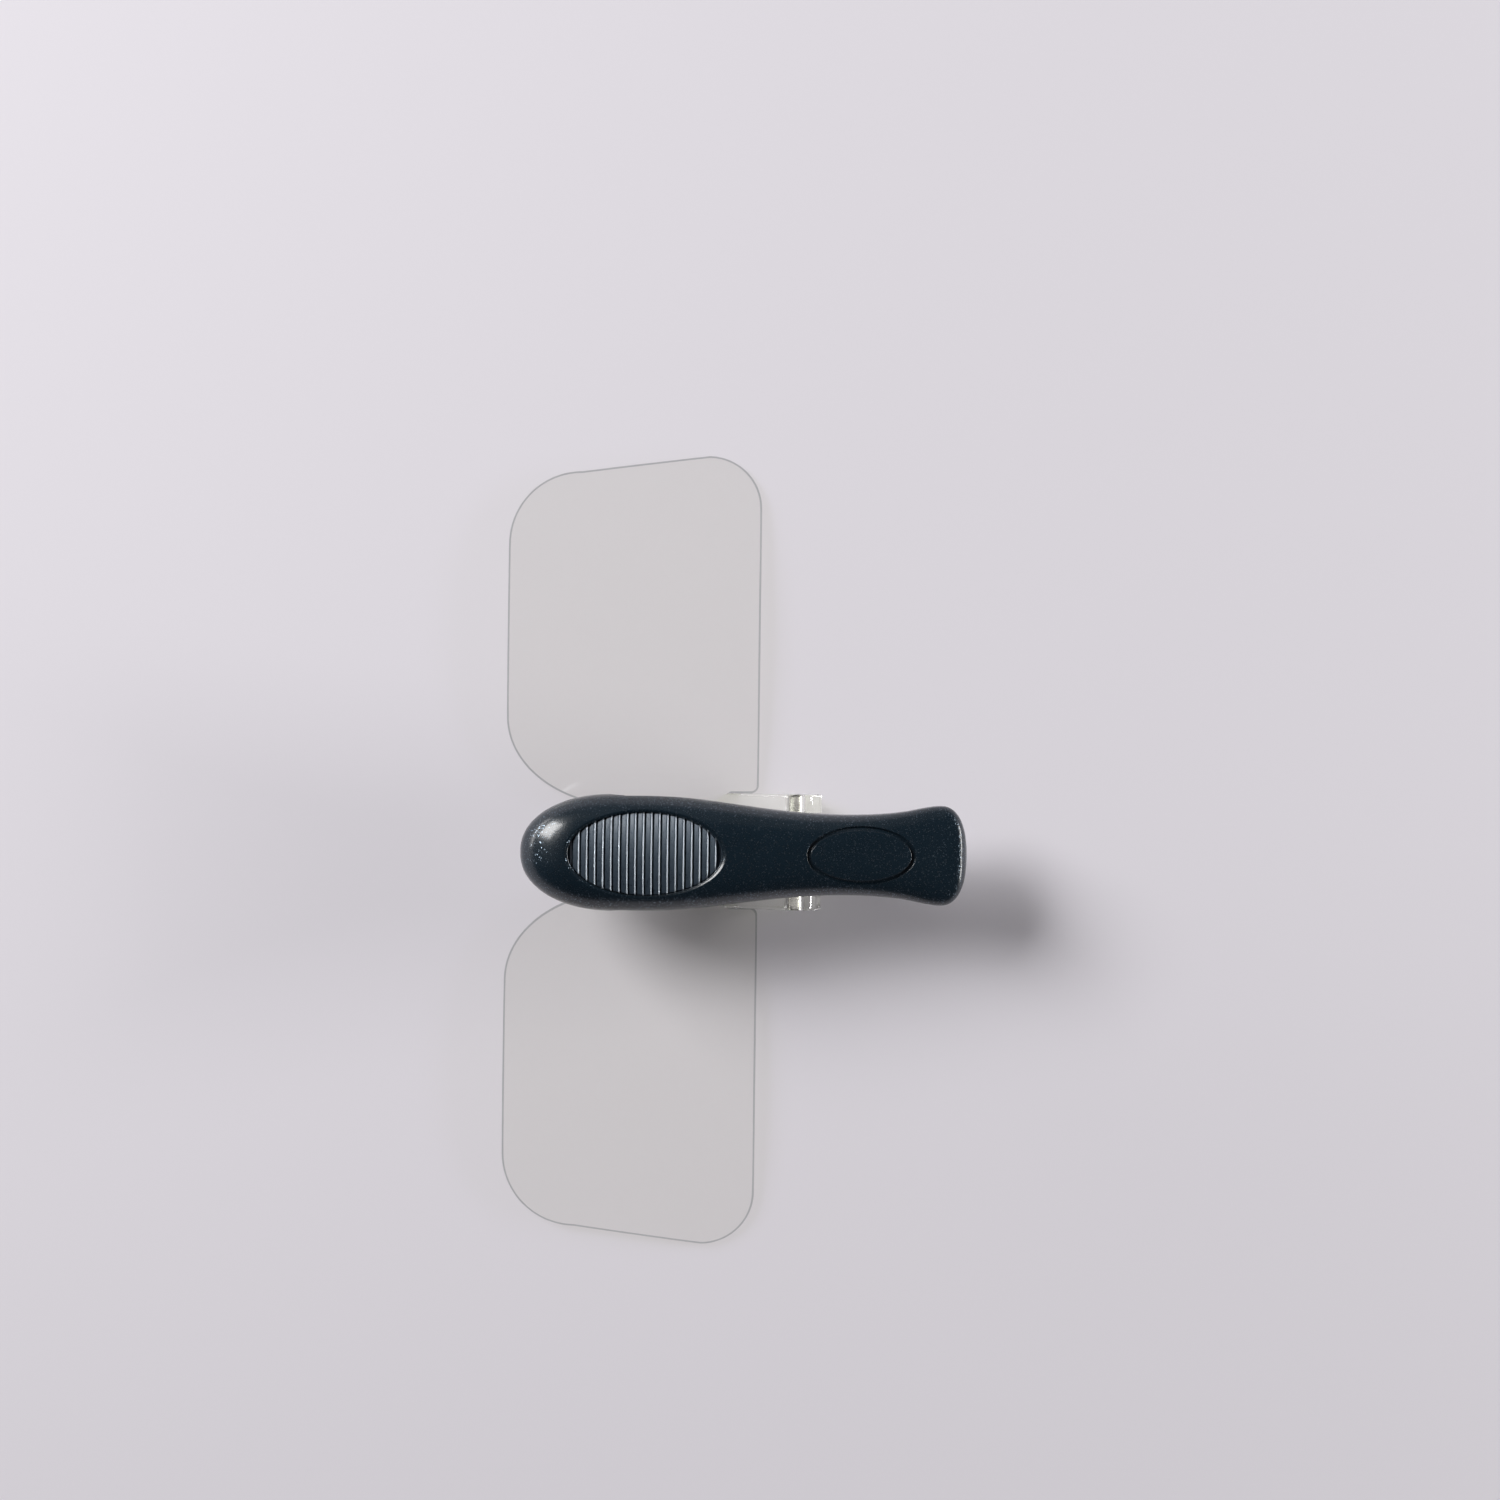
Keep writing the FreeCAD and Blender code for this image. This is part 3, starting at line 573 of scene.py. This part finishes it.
def glossy_nylon(settings):
    """Black nylon from a polished mould: deep black with a wet gloss and faint flow waves."""
    material, tree, output = new_material("glossy_nylon")
    place = add(tree, "ShaderNodeTexCoord").outputs["Object"]
    edge = round_edges(tree, settings)
    waves = add(
        tree,
        "ShaderNodeTexNoise",
        links={"Vector": place},
        values={"Scale": 1 / settings.wave, "Detail": 2.0},
    )
    gloss = add(
        tree,
        "ShaderNodeMapRange",
        links={"Value": waves.outputs["Fac"]},
        values={"To Min": settings.smoothest, "To Max": settings.roughest},
    )
    ripple = add(
        tree,
        "ShaderNodeBump",
        links={"Height": waves.outputs["Fac"], "Normal": edge},
        values={"Strength": settings.wave_share, "Distance": settings.wave_depth},
    )
    shader = add(
        tree,
        "ShaderNodeBsdfPrincipled",
        links={"Roughness": gloss.outputs["Result"], "Normal": ripple.outputs["Normal"]},
        values={"Base Color": settings.shade, "IOR": settings.index},
    )
    tree.links.new(shader.outputs["BSDF"], output.inputs["Surface"])
    return material


def clear_acrylic(name, tint, settings, cut_rims):
    """Moulded acrylic: water clear and polished, with satin rims where it was cut, greyed there by
    painted shade.
    """
    material, tree, output = new_material(name)
    coordinates = add(tree, "ShaderNodeTexCoord")
    haze = add(
        tree,
        "ShaderNodeTexNoise",
        links={"Vector": coordinates.outputs["Object"]},
        values={"Scale": 1 / settings.haze, "Detail": 4.0},
    )
    roughness = add(
        tree,
        "ShaderNodeMapRange",
        links={"Value": haze.outputs["Fac"]},
        values={"To Max": settings.roughest},
    ).outputs["Result"]
    body = add(
        tree,
        "ShaderNodeBsdfPrincipled",
        links={"Roughness": roughness},
        values={"Base Color": tint, "IOR": settings.index, "Transmission Weight": 1.0},
    )
    if cut_rims:
        facing = add(
            tree,
            "ShaderNodeSeparateXYZ",
            links={"Vector": coordinates.outputs["Normal"]},
        )
        flatness = add(
            tree,
            "ShaderNodeMath",
            operation="ABSOLUTE",
            links={0: facing.outputs["Z"]},
        )
        face = add(
            tree,
            "ShaderNodeMapRange",
            links={"Value": flatness.outputs["Value"]},
            values={"From Min": RIM_UPRIGHT, "From Max": FACE_UPRIGHT},
        ).outputs["Result"]
        satin = add(
            tree,
            "ShaderNodeMix",
            data_type="FLOAT",
            links={"Factor": face, "B": roughness},
            values={"A": settings.rim_roughness},
        )
        # Painted shade: the rims are greyed where light is lost in the cut edges
        grey = add(
            tree,
            "ShaderNodeMix",
            data_type="RGBA",
            links={"Factor": face},
            values={"A": settings.rim_painted_shade, "B": tint},
        )
        tree.links.new(satin.outputs["Result"], body.inputs["Roughness"])
        tree.links.new(grey.outputs["Result"], body.inputs["Base Color"])
    # What lies behind the part is lit straight through it, by the lamps and by its surroundings
    passed = add(tree, "ShaderNodeBsdfTransparent", values={"Color": tint}).outputs["BSDF"]
    path = add(tree, "ShaderNodeLightPath")
    shader = body.outputs["BSDF"]
    for ray in ("Is Shadow Ray", "Is Diffuse Ray"):
        shader = add(
            tree,
            "ShaderNodeMixShader",
            links={0: path.outputs[ray], 1: shader, 2: passed},
        ).outputs["Shader"]
    tree.links.new(shader, output.inputs["Surface"])
    return material


def ground_steel(name, shade, settings):
    """Ground steel: pale grey metal with fine lines round the pin."""
    material, tree, output = new_material(name)
    place = add(tree, "ShaderNodeTexCoord").outputs["Object"]
    stretched = add(
        tree,
        "ShaderNodeMapping",
        links={"Vector": place},
        values={"Scale": LINE_STRETCH},
    )
    lines = add(
        tree,
        "ShaderNodeTexNoise",
        links={"Vector": stretched.outputs["Vector"]},
        values={"Scale": 1 / settings.line_pitch, "Detail": 2.0},
    )
    gloss = add(
        tree,
        "ShaderNodeMapRange",
        links={"Value": lines.outputs["Fac"]},
        values={"To Min": settings.smoothest, "To Max": settings.roughest},
    )
    relief = add(
        tree,
        "ShaderNodeBump",
        links={"Height": lines.outputs["Fac"]},
        values={"Strength": settings.line_share, "Distance": settings.line_depth},
    )
    shader = add(
        tree,
        "ShaderNodeBsdfPrincipled",
        links={"Roughness": gloss.outputs["Result"], "Normal": relief.outputs["Normal"]},
        values={"Base Color": shade, "Metallic": 1.0},
    )
    tree.links.new(shader.outputs["BSDF"], output.inputs["Surface"])
    return material


def seen_by(tree, *rays):
    """A socket that is 1 for these kinds of ray, and 0 for light on its way to a surface."""
    path = add(tree, "ShaderNodeLightPath")
    seen = path.outputs[rays[0]]
    for ray in rays[1:]:
        seen = add(
            tree,
            "ShaderNodeMath",
            operation="MAXIMUM",
            links={0: seen, 1: path.outputs[ray]},
        ).outputs["Value"]
    return seen


def paper_sweep(settings):
    """Matt studio paper: pale grey with faint fibre tufts, and evenly pale beyond the lamps."""
    material, tree, output = new_material("paper_sweep")
    place = add(tree, "ShaderNodeTexCoord").outputs["Object"]
    tufts = add(
        tree,
        "ShaderNodeTexNoise",
        links={"Vector": place},
        values={"Scale": 1 / settings.fibre, "Detail": 3.0},
    ).outputs["Fac"]
    relief = add(
        tree,
        "ShaderNodeBump",
        links={"Height": tufts},
        values={"Strength": settings.fibre_share, "Distance": settings.fibre_depth},
    )
    paper = add(
        tree,
        "ShaderNodeBsdfPrincipled",
        links={"Normal": relief.outputs["Normal"]},
        values={"Base Color": settings.floor_shade, "Roughness": settings.floor_roughness},
    )
    reach = add(tree, "ShaderNodeVectorMath", operation="LENGTH", links={0: place})
    far = add(
        tree,
        "ShaderNodeMapRange",
        links={"Value": reach.outputs["Value"], "To Max": seen_by(tree, *SIGHT)},
        values={"From Min": settings.set_radius, "From Max": SET_FADE * settings.set_radius},
    )
    glow = add(
        tree,
        "ShaderNodeEmission",
        values={"Color": settings.floor_shade, "Strength": 1.0},
    )
    sweep = add(
        tree,
        "ShaderNodeMixShader",
        links={0: far.outputs["Result"], 1: paper.outputs["BSDF"], 2: glow.outputs["Emission"]},
    )
    tree.links.new(sweep.outputs["Shader"], output.inputs["Surface"])
    return material


def studio_world(settings):
    """A dim room: the eye and clear pieces see it pale, and mirrors do near the floor."""
    world = bpy.data.worlds.new("studio")
    world.use_nodes = True
    tree = world.node_tree
    direction = add(tree, "ShaderNodeTexCoord").outputs["Generated"]
    height = add(tree, "ShaderNodeSeparateXYZ", links={"Vector": direction}).outputs["Z"]
    walls, ceiling = (
        add(
            tree,
            "ShaderNodeMath",
            operation="MAXIMUM",
            links={0: seen_by(tree, *rays)},
            values={1: settings.overhead},
        ).outputs["Value"]
        for rays in (SIGHT, CLEAR_SIGHT)
    )
    strength = add(
        tree,
        "ShaderNodeMapRange",
        links={"Value": height, "To Min": walls, "To Max": ceiling},
        values={"From Min": settings.wall_foot, "From Max": settings.wall_top},
    )
    ground = tree.nodes["Background"]
    ground.inputs["Color"].default_value = settings.floor_shade
    tree.links.new(strength.outputs["Result"], ground.inputs["Strength"])
    return world


class MAGNIFIER_OT_clip(Operator):
    """Dress the upper and lower jaws of the brim clip"""

    bl_idname = "magnifier.clip"
    bl_label = "Brim clip"

    def execute(self, context):
        clip = context.scene.magnifier.clip
        dress(mica_abs("mica_abs_ribbed", clip, with_oval=True), "upper_jaw")
        dress(mica_abs("mica_abs", clip, with_oval=False), "lower_jaw")
        return {"FINISHED"}


class MAGNIFIER_OT_mount(Operator):
    """Dress the hinge mount under the lower jaw"""

    bl_idname = "magnifier.mount"
    bl_label = "Hinge mount"

    def execute(self, context):
        dress(glossy_nylon(context.scene.magnifier.mount), "hinge_mount")
        return {"FINISHED"}


class MAGNIFIER_OT_lenses(Operator):
    """Dress the two lenses"""

    bl_idname = "magnifier.lenses"
    bl_label = "Lenses"

    def execute(self, context):
        clear = context.scene.magnifier.clear
        polished = clear_acrylic("lens_acrylic_polished", clear.lens_tint, clear, cut_rims=True)
        dress(polished, "lens_left", "lens_right")
        return {"FINISHED"}


class MAGNIFIER_OT_bracket(Operator):
    """Dress the clear bridge bracket"""

    bl_idname = "magnifier.bracket"
    bl_label = "Bridge bracket"

    def execute(self, context):
        clear = context.scene.magnifier.clear
        tint = clear.bracket_tint
        moulded = clear_acrylic("bracket_acrylic_moulded", tint, clear, cut_rims=False)
        dress(moulded, "bridge_bracket")
        return {"FINISHED"}


def wind_torsion_spring(material):
    """The spring that closes the jaws, copied into an object of its own with its finish, in place
    of the CAD spring, which is hidden.
    """
    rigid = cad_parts["jaw_spring"]
    spring = bpy.data.objects.new("torsion_spring", rigid.data.copy())
    bpy.context.scene.collection.objects.link(spring)
    spring.matrix_world = rigid.matrix_world.copy()
    spring.data.materials.clear()
    spring.data.materials.append(material)
    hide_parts("jaw_spring")
    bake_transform(spring)


class MAGNIFIER_OT_steel(Operator):
    """Dress the pins, the springs and the screw"""

    bl_idname = "magnifier.steel"
    bl_label = "Steel parts"

    def execute(self, context):
        steel = context.scene.magnifier.steel
        pin_steel = ground_steel("ground_pin_steel", steel.pin_shade, steel)
        drawn_steel = ground_steel("drawn_spring_steel", steel.wire_shade, steel)
        dress(pin_steel, "jaw_pin", "hinge_pin", "mount_screw")
        dress(drawn_steel, "detent_spring")
        wind_torsion_spring(drawn_steel)
        return {"FINISHED"}


def softbox(name, place, width, height, power):
    """An area lamp that faces the object, with its width level."""
    data = bpy.data.lights.new(name, "AREA")
    data.shape = "RECTANGLE"
    data.size = width
    data.size_y = height
    data.energy = power
    lamp = bpy.data.objects.new(name, data)
    bpy.context.scene.collection.objects.link(lamp)
    lamp.location = place
    lamp.rotation_euler = (LAMP_TARGET - lamp.location).to_track_quat("-Z", "Y").to_euler()


class MAGNIFIER_OT_stage(Operator):
    """Set the pale floor, the soft lights and the camera straight above"""

    bl_idname = "magnifier.stage"
    bl_label = "Stage"

    def execute(self, context):
        settings = context.scene.magnifier.stage
        scene = context.scene
        floor_level = CAD_BOX[0].z + FLOOR_LIFT
        corners = [(x * FLOOR_REACH, y * FLOOR_REACH, floor_level) for x, y in FLOOR_CORNERS]
        mesh = bpy.data.meshes.new("floor")
        mesh.from_pydata(corners, [], [(0, 1, 2, 3)])
        floor = bpy.data.objects.new("floor", mesh)
        scene.collection.objects.link(floor)
        mesh.materials.append(paper_sweep(settings))

        scene.world = studio_world(settings)

        for lamp in LAMPS:
            softbox(*lamp)

        camera_data = bpy.data.cameras.new("camera")
        camera_data.sensor_width = SENSOR_WIDTH
        camera_data.lens = settings.focal
        camera = bpy.data.objects.new("camera", camera_data)
        scene.collection.objects.link(camera)
        camera.location = (
            settings.camera_x,
            settings.camera_y,
            floor_level + settings.camera_height,
        )
        camera.rotation_euler = (0, 0, settings.roll)
        scene.camera = camera
        scene.view_settings.view_transform = "Standard"
        return {"FINISHED"}


OPERATORS = (
    MAGNIFIER_OT_clip,
    MAGNIFIER_OT_mount,
    MAGNIFIER_OT_lenses,
    MAGNIFIER_OT_bracket,
    MAGNIFIER_OT_steel,
    MAGNIFIER_OT_stage,
)


class MAGNIFIER_PT_build(Panel):
    """The build steps and their settings"""

    bl_label = "Brim clip magnifier"
    bl_idname = "MAGNIFIER_PT_build"
    bl_space_type = "VIEW_3D"
    bl_region_type = "UI"
    bl_category = "Magnifier"

    def draw(self, context):
        """Lists each group's settings, and then the build steps."""
        settings = context.scene.magnifier
        for group in PROPERTY_GROUPS:
            box = self.layout.box()
            box.label(text=group.capitalize())
            finish = getattr(settings, group)
            for name in finish.__annotations__:
                box.prop(finish, name)
        for operator in OPERATORS:
            self.layout.operator(operator.bl_idname)


CLASSES = (*PROPERTY_GROUPS.values(), MAGNIFIER_PG_settings, *OPERATORS, MAGNIFIER_PT_build)


def register():
    """Adds the classes and the scene's settings to Blender."""
    for cls in CLASSES:
        bpy.utils.register_class(cls)
    bpy.types.Scene.magnifier = PointerProperty(type=MAGNIFIER_PG_settings)


def unregister():
    """Takes the settings and the classes out of Blender again."""
    del bpy.types.Scene.magnifier
    for cls in reversed(CLASSES):
        bpy.utils.unregister_class(cls)


def main():
    """Builds the dressed object on its stage."""
    register()
    bpy.ops.magnifier.clip()
    bpy.ops.magnifier.mount()
    bpy.ops.magnifier.lenses()
    bpy.ops.magnifier.bracket()
    bpy.ops.magnifier.steel()
    bpy.ops.magnifier.stage()


if __name__ == "__main__":
    main()
